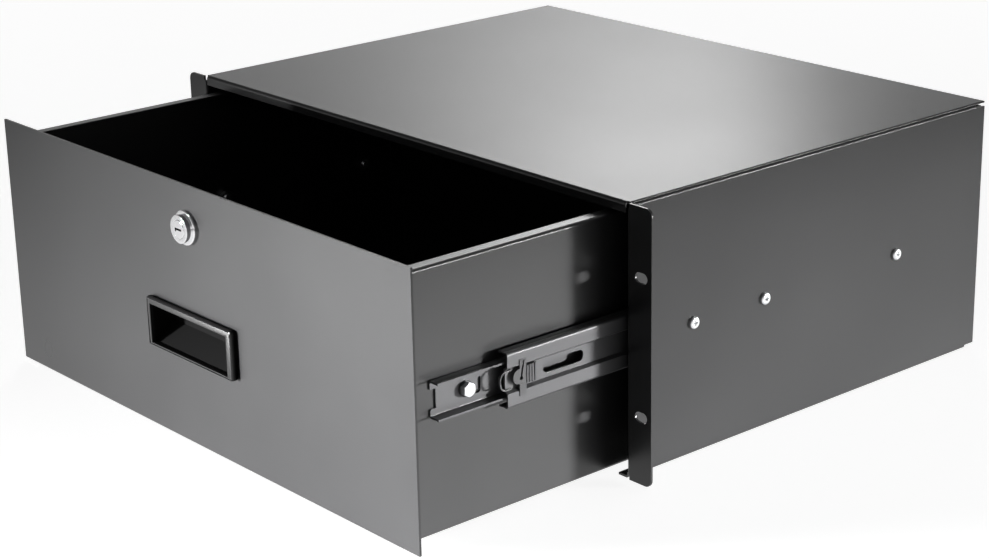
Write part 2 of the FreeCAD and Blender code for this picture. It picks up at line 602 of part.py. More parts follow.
def front_panel():
    """The flat front. Its lower edge is bent back between two plain corners."""
    body = new_body("front_panel")
    low = f"({PANEL_BOTTOM} - return_drop)"
    half = f"({CASE_SIDE} - return_inset)"
    bend_top = f"({low} + panel_bend)"
    pad(body, "Y", PANEL_FRONT, "panel_sheet", [
        (f"0 - {CASE_SIDE}", PANEL_BOTTOM), (f"0 - {half}", PANEL_BOTTOM),
        (f"0 - {half}", bend_top), (half, bend_top), (half, PANEL_BOTTOM),
        (CASE_SIDE, PANEL_BOTTOM), (CASE_SIDE, PANEL_TOP), (f"0 - {CASE_SIDE}", PANEL_TOP)])
    end = f"({PANEL_FRONT} + return_depth)"
    pad(body, "X", f"0 - {half}", f"2 * {half}", [
        (PANEL_FRONT, f"{bend_top} + panel_sheet"), (PANEL_FRONT, low, "panel_bend"),
        (end, low), (end, f"{low} + panel_sheet"),
        (PANEL_BACK, f"{low} + panel_sheet", "panel_bend - panel_sheet"),
        (PANEL_BACK, f"{bend_top} + panel_sheet")])
    cutout = rectangle(f"mouth_shift - {CUP_HALF} - cup_clearance",
                       f"mouth_shift + {CUP_HALF} + cup_clearance",
                       f"{CUP_BOTTOM} - cup_clearance", f"{CUP_TOP} + cup_clearance")
    pocket(body, "Y", PANEL_FRONT, "panel_sheet", cutout,
           circles=[("0", LOCK_RISE, "lock_body / 2 + hole_play")])
    return body


def pull_handle():
    """A moulded pull: a bezel on the panel, and a cup behind it that snaps into the cut-out."""
    body = new_body("pull_handle")
    bezel_low = "(bezel_top - bezel_height)"
    pad(body, "Y", f"{PANEL_FRONT} - bezel_proud", "bezel_proud", rectangle(
        "0 - bezel_width / 2", "bezel_width / 2", bezel_low, "bezel_top", "bezel_corner"))
    cup = rectangle(f"mouth_shift - {CUP_HALF}", f"mouth_shift + {CUP_HALF}", CUP_BOTTOM, CUP_TOP)
    pad(body, "Y", PANEL_FRONT, "cup_depth + cup_wall - bezel_proud", cup)
    front = f"({PANEL_FRONT} - bezel_proud)"
    deep = f"({front} + cup_depth)"
    pocket(body, "X", "mouth_shift - mouth_width / 2", "mouth_width", [
        (front, "0"), (front, "0 - mouth_height"), (f"{front} + bezel_proud", "0 - mouth_height"),
        (deep, "cup_rise - mouth_height"), (deep, "0")])
    lug_start = f"({PANEL_BACK} + snap_gap)"
    for start in (f"mouth_shift + {CUP_HALF}", f"mouth_shift - {CUP_HALF} - snap_lug"):
        pad(body, "X", start, "snap_lug", rectangle(
            lug_start, f"{lug_start} + snap_lug_length",
            "0 - mouth_height / 2 - snap_lug_height / 2",
            "snap_lug_height / 2 - mouth_height / 2"))
    return body


# ---- lock ----
def lock_housing():
    """A thin flange with a boss in front of the panel, and a body with two flats behind it."""
    body = new_body("lock_housing")
    bore = ("0", "0", "plug_width / 2 + plug_play")
    front = f"({PANEL_FRONT} - lock_proud)"
    pad(body, "Y", f"{front} + lock_step", "lock_proud - lock_step",
        circles=[("0", "0", "lock_ring / 2")])
    pad(body, "Y", front, "lock_proud", circles=[("0", "0", "lock_face / 2")])
    pad(body, "Y", PANEL_FRONT, "panel_sheet + lock_depth", circles=[("0", "0", "lock_body / 2")])
    pocket(body, "Y", front, "lock_proud + panel_sheet + lock_depth", circles=[bore])
    for turn in (-1, 1):
        flat = sorted((f"{turn} * lock_flats / 2", f"{turn} * lock_body"), key=number)
        pocket(body, "Y", PANEL_FRONT, "panel_sheet + lock_depth",
               rectangle("0 - lock_body", "lock_body", *flat))
    place(body, z=LOCK_RISE)
    return body


def lock_nut():
    body = new_body("lock_nut")
    corner = "(lock_nut_across / 2 / cos(30))"
    spots = [(f"{corner} * cos({60 * turn})", f"{corner} * sin({60 * turn})") for turn in range(6)]
    pad(body, "Y", PANEL_BACK, "lock_nut_height", spots,
        circles=[("0", "0", "lock_body / 2 + thread_play")])
    place(body, z=LOCK_RISE)
    return body


def lock_plug():
    """The part that the key turns. Its keyway lies level while the cam lies down, unlocked."""
    body = new_body("lock_plug")
    front = f"({PANEL_FRONT} - lock_proud - plug_proud)"
    length = f"({PANEL_BACK} + lock_depth + ball_play - {front})"
    pad(body, "Y", front, length, circles=[("0", "0", "plug_width / 2")])
    pocket(body, "Y", front, "keyway_depth", rectangle(
        "0 - keyway_length / 2", "keyway_length / 2", "0 - keyway_width / 2", "keyway_width / 2"))
    pocket(body, "Y", f"{front} + {length} - cam_screw_depth", "cam_screw_depth",
           circles=[("0", "0", "cam_screw_shank / 2 + thread_play")])
    place(body, z=LOCK_RISE)
    return body


def lock_cam():
    """A cranked arm that turns up behind the lip of the cover."""
    body = new_body("lock_cam")
    back = f"({PANEL_BACK} + lock_depth + ball_play)"
    rear = f"({back} + cam_sheet)"
    near = f"({PANEL_BACK} + cam_behind)"
    far = f"({near} + cam_sheet)"
    outer = "(cam_step + cam_sheet)"
    pad(body, "Z", "0 - cam_width / 2", "cam_width", [
        ("0 - cam_tail", back), ("0 - cam_tail", rear), (outer, rear, "cam_sheet"),
        (outer, far), (CAM_REACH, far), (CAM_REACH, near), ("cam_step", near, "cam_sheet"),
        ("cam_step", back)])
    pocket(body, "Y", back, "cam_sheet", circles=[("0", "0", "cam_screw_shank / 2 + hole_play")])
    place(body, z=LOCK_RISE)
    return body


def cam_screw():
    body = new_body("cam_screw")
    rear = f"({PANEL_BACK} + lock_depth + ball_play + cam_sheet)"
    pad(body, "Y", rear, "cam_screw_head_height", circles=[("0", "0", "cam_screw_head / 2")])
    shank = "(cam_sheet + cam_screw_depth - tip_room)"
    pad(body, "Y", f"{rear} - {shank}", shank, circles=[("0", "0", "cam_screw_shank / 2")])
    pocket(body, "Y", f"{rear} + cam_screw_head_height - cross_depth", "cross_depth",
           rectangle("0 - cross_span / 2", "cross_span / 2", "0 - cross_width / 2", "cross_width / 2"))
    pocket(body, "Y", f"{rear} + cam_screw_head_height - cross_depth", "cross_depth",
           rectangle("0 - cross_width / 2", "cross_width / 2", "0 - cross_span / 2", "cross_span / 2"))
    place(body, z=LOCK_RISE)
    return body


# ---- fasteners of the slides ----
def case_screws():
    """Cross-recessed screws from outside, through the side panel into the cabinet member."""
    outside = number(CASE_SIDE)
    head, height = number("case_screw_head") / 2, number("case_screw_head_height")
    span, width, depth = number("cross_span"), number("cross_width"), number("cross_depth")
    solids = []
    for along in CASE_SCREWS:
        spot = V(outside, number("slide_setback") + number(along), 0)
        shank = Part.makeCylinder(number("case_screw_shank") / 2, number("case_screw_length"),
                                  spot, V(-1, 0, 0))
        cap = Part.makeCylinder(head, height, spot, V(1, 0, 0))
        rim = [edge for edge in cap.Edges if edge.BoundBox.XMin > outside + height / 2]
        screw = cap.makeFillet(height / 2, rim).fuse(shank)
        for wide, tall in ((span, width), (width, span)):
            cross = Part.makeBox(depth, wide, tall, spot + V(height - depth, -wide / 2, -tall / 2))
            screw = screw.cut(cross)
        solids.append(screw)
    return new_group("right_case_screws", solids)


def drawer_screw_spots(x):
    return [V(number(x), number(INNER_FRONT) + number(along), 0) for along in DRAWER_SCREWS]


def drawer_screws():
    """Hexagon screws that hold the drawer member to the drawer wall."""
    seat = inward("slide_thickness - rail_sheet - washer_sheet")
    length = number("washer_sheet + rail_sheet + drawer_sheet + nut_height + thread_past_nut")
    solids = []
    for spot in drawer_screw_spots(seat):
        head = hexagon(number("hex_across"), number("hex_head_height")).translated(spot)
        shank = Part.makeCylinder(number("drawer_screw_shank") / 2, length, spot, V(-1, 0, 0))
        solids.append(head.fuse(shank))
    return new_group("right_drawer_screws", solids)


def drawer_washers():
    seat = inward("slide_thickness - rail_sheet")
    thick = number("washer_sheet")
    bore = number("drawer_screw_shank / 2 + hole_play")
    solids = [Part.makeCylinder(number("washer_width") / 2, thick, spot, V(1, 0, 0)).cut(
        Part.makeCylinder(bore, thick, spot, V(1, 0, 0))) for spot in drawer_screw_spots(seat)]
    return new_group("right_drawer_washers", solids)


def drawer_nuts():
    height = number("nut_height")
    bore = number("drawer_screw_shank / 2 + thread_play")
    solids = [hexagon(number("hex_across"), -height).translated(spot).cut(
        Part.makeCylinder(bore, height, spot, V(-1, 0, 0)))
        for spot in drawer_screw_spots(DRAWER_INNER)]
    return new_group("right_drawer_nuts", solids)


OUTER_CAGE = ("right_outer_ball_cage", "(0 - cage_gap - cage_sheet)")
OUTER_ROW = (OUTER_BALLS, OUTER_BALL, "outer_ball_depth")
OUTER_CAGE_FRONT = "(outer_cage_closed - outer_cage_share * drawer_open)"
INNER_CAGE = ("right_inner_ball_cage", "(rail_sheet + cage_gap)")
INNER_ROW = (INNER_BALLS, INNER_BALL, "inner_ball_depth")
INNER_CAGE_FRONT = "(inner_cage_closed - inner_cage_share * drawer_open)"

paired = [
    side_panel(), outer_rail(), middle_rail(), inner_rail(),
    ball_cage(*OUTER_CAGE, *OUTER_ROW, "outer_cage_reach", "outer_cage_length", OUTER_CAGE_FRONT),
    ball_cage(*INNER_CAGE, *INNER_ROW, "inner_cage_reach", "inner_cage_length", INNER_CAGE_FRONT),
    ball_rows("right_outer_balls", *OUTER_ROW, "outer_cage_length", OUTER_CAGE_FRONT),
    ball_rows("right_inner_balls", *INNER_ROW, "inner_cage_length", INNER_CAGE_FRONT),
    rail_clip(), front_bow(), rear_buffer(), case_screws(), drawer_screws(), drawer_washers(),
    drawer_nuts(),
]
for right_piece in paired:
    left_twin(right_piece)
for single in (top_cover, rear_panel, drawer_tray, drawer_back, front_panel, pull_handle,
               lock_housing, lock_nut, lock_plug, lock_cam, cam_screw):
    single()

document.recompute()
for thing in document.Objects:
    if {"Invalid", "Error"} & set(thing.State):
        raise RuntimeError(f"{thing.Label} failed: {thing.State}")
os.makedirs("parts", exist_ok=True)
for piece in pieces:
    if piece.Shape.isNull() or not piece.Shape.isValid():
        raise RuntimeError(f"{piece.Label} has no valid shape")
    piece.Shape.exportStep(f"parts/{piece.Label}.step")
    print(piece.Label, len(piece.Shape.Solids), round(piece.Shape.Volume, 1))
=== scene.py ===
import json
import math
import bpy
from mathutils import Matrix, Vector


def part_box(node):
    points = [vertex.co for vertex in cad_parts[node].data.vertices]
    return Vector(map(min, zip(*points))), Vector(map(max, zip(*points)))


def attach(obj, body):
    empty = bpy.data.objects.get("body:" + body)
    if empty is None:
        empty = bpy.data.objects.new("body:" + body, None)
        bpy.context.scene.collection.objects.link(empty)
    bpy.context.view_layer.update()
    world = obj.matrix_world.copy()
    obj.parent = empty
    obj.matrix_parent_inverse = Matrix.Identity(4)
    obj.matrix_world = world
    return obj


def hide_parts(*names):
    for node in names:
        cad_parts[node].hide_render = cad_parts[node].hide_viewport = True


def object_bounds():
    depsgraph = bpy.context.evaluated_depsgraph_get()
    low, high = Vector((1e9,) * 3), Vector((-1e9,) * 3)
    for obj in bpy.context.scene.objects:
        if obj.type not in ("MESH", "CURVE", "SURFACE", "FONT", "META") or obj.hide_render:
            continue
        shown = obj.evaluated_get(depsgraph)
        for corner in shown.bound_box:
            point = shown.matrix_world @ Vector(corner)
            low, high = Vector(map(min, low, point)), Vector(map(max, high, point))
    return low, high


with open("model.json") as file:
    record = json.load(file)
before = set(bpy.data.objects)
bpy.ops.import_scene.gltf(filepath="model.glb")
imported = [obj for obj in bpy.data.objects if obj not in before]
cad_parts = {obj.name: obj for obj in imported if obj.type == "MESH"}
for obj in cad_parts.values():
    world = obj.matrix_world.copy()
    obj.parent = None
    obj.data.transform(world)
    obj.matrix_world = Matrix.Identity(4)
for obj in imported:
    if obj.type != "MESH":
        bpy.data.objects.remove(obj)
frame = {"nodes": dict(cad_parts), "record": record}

cad_low, cad_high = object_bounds()

# ---- camera ----
# A long lens at the right front corner, a little above the drawer, with a slight roll.
view_azimuth, view_elevation, view_roll = math.radians(49.57), math.radians(18.94), math.radians(-1.19)
view_target, view_distance = Vector((0.09898, 0.0, 0.01083)), 1.45033
view_back = Vector((math.sin(view_azimuth) * math.cos(view_elevation),
                    -math.cos(view_azimuth) * math.cos(view_elevation), math.sin(view_elevation)))
camera_data = bpy.data.cameras.new("studio_camera")
camera_data.lens, camera_data.sensor_width = 82.77, 36.0
camera_data.clip_end = 60.0
camera = bpy.data.objects.new("studio_camera", camera_data)
camera.matrix_world = view_back.to_track_quat("Z", "Y").to_matrix().to_4x4()
camera.rotation_euler.rotate_axis("Z", view_roll)
camera.location = view_target + view_back * view_distance
bpy.context.scene.collection.objects.link(camera)
bpy.context.scene.camera = camera
bpy.context.scene.view_settings.view_transform = "Standard"

# ---- studio ----
# A white sweep under and behind the drawer. It reads white to the camera, and in reflections it is
# white low down and near the drawer. It gives only a low fill, so that hollows stay dark.


def math_node(tree, operation, first, second):
    node = tree.nodes.new("ShaderNodeMath")
    node.operation = operation
    tree.links.new(first, node.inputs[0])
    tree.links.new(second, node.inputs[1])
    return node.outputs[0]


def ramp_node(tree, value, given, wanted, way="LINEAR"):
    """Maps a value from the given span to the wanted one, and holds it at their ends."""
    node = tree.nodes.new("ShaderNodeMapRange")
    node.interpolation_type = way
    node.inputs["From Min"].default_value, node.inputs["From Max"].default_value = given
    node.inputs["To Min"].default_value, node.inputs["To Max"].default_value = wanted
    tree.links.new(value, node.inputs["Value"])
    return node.outputs[0]


def seen_level(tree, mirrored):
    """1 to the camera and through clear things, the mirrored level in reflections, and else 0."""
    path = tree.nodes.new("ShaderNodeLightPath")
    reflection = math_node(tree, "MULTIPLY", path.outputs["Is Glossy Ray"], mirrored)
    plain = math_node(tree, "MAXIMUM", path.outputs["Is Camera Ray"], reflection)
    return math_node(tree, "MAXIMUM", plain, path.outputs["Is Transmission Ray"])


world = bpy.data.worlds.new("studio_air")
bpy.context.scene.world = world
world.use_nodes = True
air = world.node_tree
air_light = air.nodes["Background"]
air_light.inputs["Color"].default_value = (1.0, 1.0, 1.0, 1.0)
# reflections see the air darken from the horizon up to a dim ceiling
air_place = air.nodes.new("ShaderNodeTexCoord")
air_height = air.nodes.new("ShaderNodeSeparateXYZ")
air.links.new(air_place.outputs["Generated"], air_height.inputs[0])
ceiling_span, ceiling_light, air_fill = (0.0, 0.50), (1.0, 0.12), 0.05
air_ceiling = ramp_node(air, air_height.outputs["Z"], ceiling_span, ceiling_light, "SMOOTHSTEP")
air_level = ramp_node(air, seen_level(air, air_ceiling), (0.0, 1.0), (air_fill, 1.0))
air.links.new(air_level, air_light.inputs["Strength"])

floor_size, floor_drop = 24.0, 0.0004
bpy.ops.object.select_all(action="DESELECT")
bpy.ops.mesh.primitive_plane_add(size=floor_size, location=(0, 0, cad_low.z - floor_drop))
floor = bpy.context.object
floor.name = "studio_floor"
floor_paint = bpy.data.materials.new("studio_floor")
floor_paint.use_nodes = True
floor_tree = floor_paint.node_tree
floor_shader = floor_tree.nodes["Principled BSDF"]
floor_shader.inputs["Base Color"].default_value = (0.46, 0.46, 0.46, 1.0)
floor_shader.inputs["Roughness"].default_value = 0.9
floor_shader.inputs["Specular IOR Level"].default_value = 0.1
floor_shader.inputs["Emission Color"].default_value = (1.0, 1.0, 1.0, 1.0)
# in reflections the floor glows brightest round the object, as a painted pool of light
floor_place = floor_tree.nodes.new("ShaderNodeTexCoord")
floor_reach = floor_tree.nodes.new("ShaderNodeVectorMath")
floor_reach.operation = "LENGTH"
floor_tree.links.new(floor_place.outputs["Object"], floor_reach.inputs[0])
pool_span, pool_light = (0.30, 1.10), (1.05, 0.30)
floor_pool = ramp_node(floor_tree, floor_reach.outputs["Value"], pool_span, pool_light)
# far from the lamps the floor glows more, so that it stays white there
rise_span, rise_light = (0.5, 2.5), (0.88, 1.0)
floor_rise = ramp_node(floor_tree, floor_reach.outputs["Value"], rise_span, rise_light)
floor_glow = math_node(floor_tree, "MULTIPLY", seen_level(floor_tree, floor_pool), floor_rise)
floor_tree.links.new(floor_glow, floor_shader.inputs["Emission Strength"])
floor.data.materials.append(floor_paint)


def studio_lamp(name, spot, aim, width, height, watts, spread=180.0):
    """A rectangular lamp at a spot, turned to its aim, whose light stays within a spread in degrees."""
    lamp_data = bpy.data.lights.new(name, "AREA")
    lamp_data.shape, lamp_data.energy = "RECTANGLE", watts
    lamp_data.size, lamp_data.size_y, lamp_data.spread = width, height, math.radians(spread)
    lamp = bpy.data.objects.new(name, lamp_data)
    lamp.location = spot
    lamp.rotation_euler = (Vector(spot) - Vector(aim)).to_track_quat("Z", "Y").to_euler()
    bpy.context.scene.collection.objects.link(lamp)


# a wide one overhead, a narrow one for the right side, one for the front, and one that the cover mirrors
studio_lamp("overhead_softbox", (0.4, 0.9, 2.0), (0.1, 0.2, 0.0), 1.2, 1.2, 2.5)
studio_lamp("right_key", (3.0, 2.5, 0.0), (0.22, -0.20, -0.36), 0.9, 0.12, 8.5, 15.0)
studio_lamp("front_softbox", (-1.3, -2.3, 0.0), (0.38, -0.15, -0.16), 0.6, 0.15, 8.0, 18.0)
studio_lamp("back_softbox", (-2.2, 2.0, 1.50), (-0.18, -0.26, 0.09), 1.1, 0.9, 0.66, 22.0)

# ---- painted sheet steel: case and drawer ----
# Folded steel panels with a fine-textured black powder coat, satin, baked on after folding. The
# coat has a fine pimple and a faint cloudiness in its sheen, and their cut edges are eased.


def textured_coat():
    """A node group: fine pimples for the height, and a slow drift for sheen and tone."""
    group = bpy.data.node_groups.new("textured_coat", "ShaderNodeTree")
    layers = (("Pimple Scale", "Height", 2.0), ("Cloud Scale", "Cloud", 3.0))
    for scale, result, _ in layers:
        group.interface.new_socket(scale, in_out="INPUT", socket_type="NodeSocketFloat")
        group.interface.new_socket(result, in_out="OUTPUT", socket_type="NodeSocketFloat")
    scales, results = group.nodes.new("NodeGroupInput"), group.nodes.new("NodeGroupOutput")
    place = group.nodes.new("ShaderNodeTexCoord")
    for scale, result, detail in layers:
        noise = group.nodes.new("ShaderNodeTexNoise")
        noise.inputs["Detail"].default_value = detail
        group.links.new(place.outputs["Object"], noise.inputs["Vector"])
        group.links.new(scales.outputs[scale], noise.inputs["Scale"])
        group.links.new(noise.outputs["Fac"], results.inputs[result])
    return group


coat_group = textured_coat()
pimple_height = 0.0001


def coated(name, dark, light, smooth, rough, bump, metallic=0.0, gloss=0.5, pimple=1900.0, cloud=9.0):
    """A material whose tone and roughness drift between two values, with a fine bump."""
    material = bpy.data.materials.new(name)
    material.use_nodes = True
    tree = material.node_tree
    shader = tree.nodes["Principled BSDF"]
    shader.inputs["Specular IOR Level"].default_value = gloss
    shader.inputs["Metallic"].default_value = metallic
    coat = tree.nodes.new("ShaderNodeGroup")
    coat.node_tree = coat_group
    coat.inputs["Pimple Scale"].default_value = pimple
    coat.inputs["Cloud Scale"].default_value = cloud
    tone = tree.nodes.new("ShaderNodeMix")
    tone.data_type = "RGBA"
    tone.inputs["A"].default_value = (*dark, 1.0)
    tone.inputs["B"].default_value = (*light, 1.0)
    tree.links.new(coat.outputs["Cloud"], tone.inputs["Factor"])
    tree.links.new(tone.outputs["Result"], shader.inputs["Base Color"])
    sheen = ramp_node(tree, coat.outputs["Cloud"], (0.0, 1.0), (smooth, rough))
    tree.links.new(sheen, shader.inputs["Roughness"])
    relief = tree.nodes.new("ShaderNodeBump")
    relief.inputs["Strength"].default_value = bump
    relief.inputs["Distance"].default_value = pimple_height
    tree.links.new(coat.outputs["Height"], relief.inputs["Height"])
    tree.links.new(relief.outputs["Normal"], shader.inputs["Normal"])
    return material


def dress(material, *names):
    """Gives the material to CAD nodes."""
    for name in names:
        mesh = frame["nodes"][name].data
        mesh.materials.clear()
        mesh.materials.append(material)


def both(name):
    return [f"left_{name}", f"right_{name}"]


# one powder coat in three copies, as painted sheen: the front panel's is a little glossier and smoother,
# and the drawer's lighter and far glossier, so its walls read brighter
panel_black = coated("black_powder_coat", (0.015, 0.015, 0.016), (0.020, 0.020, 0.021), 0.28, 0.34, 0.35,
                     gloss=0.44)
front_black = coated("front_powder_coat", (0.015, 0.015, 0.016), (0.020, 0.020, 0.021), 0.26, 0.32, 0.40,
                     gloss=0.48)
drawer_black = coated("drawer_powder_coat", (0.019, 0.019, 0.020), (0.026, 0.026, 0.027), 0.27, 0.33, 0.40,
                      gloss=0.74)
# the moving body and the material slot of each node
body_of = {node: body for body, nodes in frame["record"]["behaviour"]["bodies"].items() for node in nodes}


def select_only(*objects):
    """The last object named is the active one."""
    bpy.ops.object.select_all(action="DESELECT")
    for each in objects:
        each.select_set(True)
        bpy.context.view_layer.objects.active = each


def fit(piece, material, *nodes, smooth=32):
    """Smooths the piece with its flat faces left flat, gives it its material, and sets it on the
    body of the nodes it replaces."""
    select_only(piece)
    bpy.ops.object.shade_smooth_by_angle(angle=math.radians(smooth))
    flat = piece.modifiers.new("flat_faces", "WEIGHTED_NORMAL")
    flat.weight, flat.keep_sharp = 100, True
    bpy.ops.object.modifier_apply(modifier=flat.name)
    piece.data.materials.clear()
    piece.data.materials.append(material)
    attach(piece, body_of[nodes[0]])
    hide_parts(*nodes)


sheet_ease, merge_gap, flat_angle, edge_angle = 0.0003, 1e-6, math.radians(0.5), math.radians(50)


def eased(material, width, *names):
    """Sheet parts with their cut edges eased: each is its CAD node's shape, bevelled."""
    for name in names:
        mesh = frame["nodes"][name].data.copy()
        piece = bpy.data.objects.new(f"{name}_sheet", mesh)
        bpy.context.scene.collection.objects.link(piece)
        select_only(piece)
        bpy.ops.object.mode_set(mode="EDIT")
        bpy.ops.mesh.select_all(action="SELECT")
        bpy.ops.mesh.remove_doubles(threshold=merge_gap)
        bpy.ops.mesh.dissolve_limited(angle_limit=flat_angle)
        bpy.ops.object.mode_set(mode="OBJECT")
        easing = piece.modifiers.new("easing", "BEVEL")
        easing.width, easing.segments, easing.limit_method = width, 2, "ANGLE"
        easing.angle_limit = edge_angle
        bpy.ops.object.modifier_apply(modifier=easing.name)
        fit(piece, material, name)


eased(panel_black, sheet_ease, *both("side_panel"), "top_cover", "rear_panel")
eased(front_black, sheet_ease, "front_panel")
eased(drawer_black, sheet_ease, "drawer_tray", "drawer_back")

# ---- ball slides ----
# Channels rolled from steel strip, three to a slide, with a black zinc plate that is smooth and a
# little brighter than the paint. A bent strip stands at the front end of each middle member.
rail_black = coated("black_zinc_plate", (0.092, 0.092, 0.095), (0.128, 0.128, 0.132), 0.36, 0.46, 0.10, 0.6)
rail_ease = 0.00015
eased(rail_black, rail_ease, *both("outer_rail"), *both("middle_rail"), *both("inner_rail"),
      *both("front_bow"))

# ---- ball cages and balls ----
# Hardened, polished steel balls roll between the channels, each in its own hole of a cage pressed
# from bare steel strip.
cage_steel = coated("cage_strip", (0.20, 0.20, 0.21), (0.26, 0.26, 0.27), 0.30, 0.40, 0.10, 1.0)
dress(cage_steel, *both("outer_ball_cage"), *both("inner_ball_cage"))
ball_steel = coated("bearing_steel", (0.70, 0.70, 0.72), (0.78, 0.78, 0.80), 0.08, 0.14, 0.02, 1.0)
dress(ball_steel, *both("outer_balls"), *both("inner_balls"))

# ---- rear buffers ----
# Stops of moulded black rubber in the back ends of the cabinet members, which the middle members
# meet when the drawer is in.
buffer_black = coated("buffer_rubber", (0.018, 0.018, 0.018), (0.026, 0.026, 0.026), 0.7, 0.8, 0.3)
dress(buffer_black, *both("rear_buffer"))

# ---- screws ----
# Bright zinc-plated steel: pan-head screws with a cross recess through the case, and hexagon
# screws with chamfered corners, black washers and nuts through the drawer walls.
screw_zinc = coated("bright_zinc", (0.78, 0.79, 0.80), (0.86, 0.87, 0.88), 0.22, 0.34, 0.06, 1.0)
# the washers under the hexagon heads are given a plain dark colour
washer_black = coated("plain_dark_washer", (0.020, 0.020, 0.021), (0.032, 0.032, 0.034), 0.4, 0.5, 0.1)
dress(washer_black, *both("drawer_washers"))


def settle(name):
    """Names the new primitive and puts its place into its mesh."""
    piece = bpy.context.object
    piece.name = name
    select_only(piece)
    bpy.ops.object.transform_apply()
    return piece


def new_block(name, low, high):
    bpy.ops.object.select_all(action="DESELECT")
    low, high = Vector(low), Vector(high)
    bpy.ops.mesh.primitive_cube_add(size=1.0, location=(low + high) / 2, scale=high - low)
    return settle(name)


def new_rod(name, radius, start, end, sides=48, end_radius=None):
    """A rod along X or Y from start to end, or a cone where its end has another radius."""
    bpy.ops.object.select_all(action="DESELECT")
    start, end = Vector(start), Vector(end)
    along_x = abs(end.x - start.x) > abs(end.y - start.y)
    turn = (0, math.radians(90), 0) if along_x else (math.radians(-90), 0, 0)
    bpy.ops.mesh.primitive_cone_add(
        vertices=sides, radius1=radius, radius2=radius if end_radius is None else end_radius,
        depth=(end - start).length, location=(start + end) / 2, rotation=turn)
    return settle(name)


# two places this near are the same, and a cutting tool reaches this far past what it cuts
near, past = 1e-5, 0.001


def pick(piece, kind, test):
    """Edit mode, with only those faces or edges selected whose corners all pass the test."""
    select_only(piece)
    bpy.ops.object.mode_set(mode="EDIT")
    bpy.ops.mesh.select_mode(type=kind)
    bpy.ops.mesh.select_all(action="DESELECT")
    bpy.ops.object.mode_set(mode="OBJECT")
    for item in piece.data.polygons if kind == "FACE" else piece.data.edges:
        item.select = all(test(piece.data.vertices[index].co) for index in item.vertices)
    bpy.ops.object.mode_set(mode="EDIT")


def round_edges(piece, width, segments, test):
    pick(piece, "EDGE", test)
    bpy.ops.mesh.bevel(offset=width, segments=segments, affect="EDGES")
    bpy.ops.object.mode_set(mode="OBJECT")


def shape(piece, way, tool):
    """Cuts the tool out of the piece, adds it, or keeps what they share, and clears the tool away."""
    modifier = piece.modifiers.new("shape", "BOOLEAN")
    modifier.operation, modifier.solver, modifier.object = way, "EXACT", tool
    select_only(piece)
    bpy.ops.object.modifier_apply(modifier=modifier.name)
    bpy.data.objects.remove(tool)


def join(name, parts):
    select_only(*parts)
    if len(parts) > 1:
        bpy.ops.object.join()
    piece = bpy.context.object
    piece.name = piece.data.name = name
    return piece


def copy_at(piece, offset, mirrored=False):
    """A copy with its own mesh, moved by the offset and, for the left side, mirrored first."""
    twin = piece.copy()
    twin.data = piece.data.copy()
    bpy.context.scene.collection.objects.link(twin)
    select_only(twin)
    if mirrored:
        bpy.ops.transform.mirror(constraint_axis=(True, False, False), center_override=(0, 0, 0))
    bpy.ops.transform.translate(value=offset)
    bpy.ops.object.transform_apply()
    if mirrored:
        bpy.ops.object.mode_set(mode="EDIT")
        bpy.ops.mesh.select_all(action="SELECT")
        bpy.ops.mesh.normals_make_consistent(inside=False)
        bpy.ops.object.mode_set(mode="OBJECT")
    return twin


def place_on_both_sides(steps, material, *rows):
    """Each row is a right side piece, its name and its node's. The piece is copied at steps along Y,
    and mirrored on the left, and then cleared away."""
    for side, mirrored in (("right", False), ("left", True)):
        for blank, name, node in rows:
            row = join(f"{side}_{name}", [copy_at(blank, (0, step, 0), mirrored) for step in steps])
            fit(row, material, f"{side}_{node}")
    for blank, _, _ in rows:
        bpy.data.objects.remove(blank)


def pan_head_screw(face, centre_y, centre_z, head, height, shank, length):
    """A screw along X whose head sits on a face, domed at the rim, with a cross recess."""
    dome, point = height * 0.55, shank * 0.15
    span, width, depth, taper = 0.0023, 0.00055, 0.0016, 0.62
    top = face + height
    screw = new_rod("pan_head", head / 2, (face, centre_y, centre_z), (top, centre_y, centre_z))
    round_edges(screw, dome, 4, lambda co: co.x > top - near)
    for reach_y, reach_z in ((span, width), (width, span)):
        tool = new_block("cross", (top - depth, centre_y - reach_y, centre_z - reach_z),
                         (top + depth, centre_y + reach_y, centre_z + reach_z))
        pick(tool, "FACE", lambda co: co.x < top)
        bpy.ops.transform.resize(value=(1, taper, taper), center_override=(top, centre_y, centre_z))
        bpy.ops.object.mode_set(mode="OBJECT")
        shape(screw, "DIFFERENCE", tool)
    rod = new_rod("shank", shank / 2, (face - length, centre_y, centre_z), (face, centre_y, centre_z),
                  sides=24)
    round_edges(rod, point, 1, lambda co: co.x < face - length + near)
    return join("pan_head_screw", [rod, screw])


def hex_blank(across, height, seat, centre_y, centre_z, way):
    """A hexagon on a face across X, a corner up. Its outer corners are turned down to a cone."""
    corner = across / 2 / math.cos(math.pi / 6)
    turned_radius, turned_slope = across * 0.47, math.tan(math.radians(30))
    centre = Vector((seat, centre_y, centre_z))
    top = centre + Vector((way * height, 0, 0))
    blank = new_rod("hexagon", corner, centre, top, sides=6)
    select_only(blank)
    bpy.ops.object.mode_set(mode="EDIT")
    bpy.ops.mesh.select_all(action="SELECT")
    bpy.ops.transform.rotate(value=math.radians(30), orient_axis="X", center_override=centre)
    bpy.ops.object.mode_set(mode="OBJECT")
    cone = new_rod("chamfer", turned_radius + height / turned_slope, centre, top,
                   end_radius=turned_radius)
    shape(blank, "INTERSECT", cone)
    return blank


case_screw_low, case_screw_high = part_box("right_case_screws")
case_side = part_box("top_cover")[1].x
case_head, case_head_height, case_shank = 0.008, case_screw_high.x - case_side, 0.004
case_screw_y = case_screw_low.y + case_head / 2
hole_grid = 0.032
case_screw = pan_head_screw(case_side, case_screw_y, 0.0, case_head, case_head_height,
                            case_shank, case_side - case_screw_low.x)
case_screw_steps = [count * hole_grid for count in (0, 2, 6)]
place_on_both_sides(case_screw_steps, screw_zinc, (case_screw, "pan_head_screws", "case_screws"))

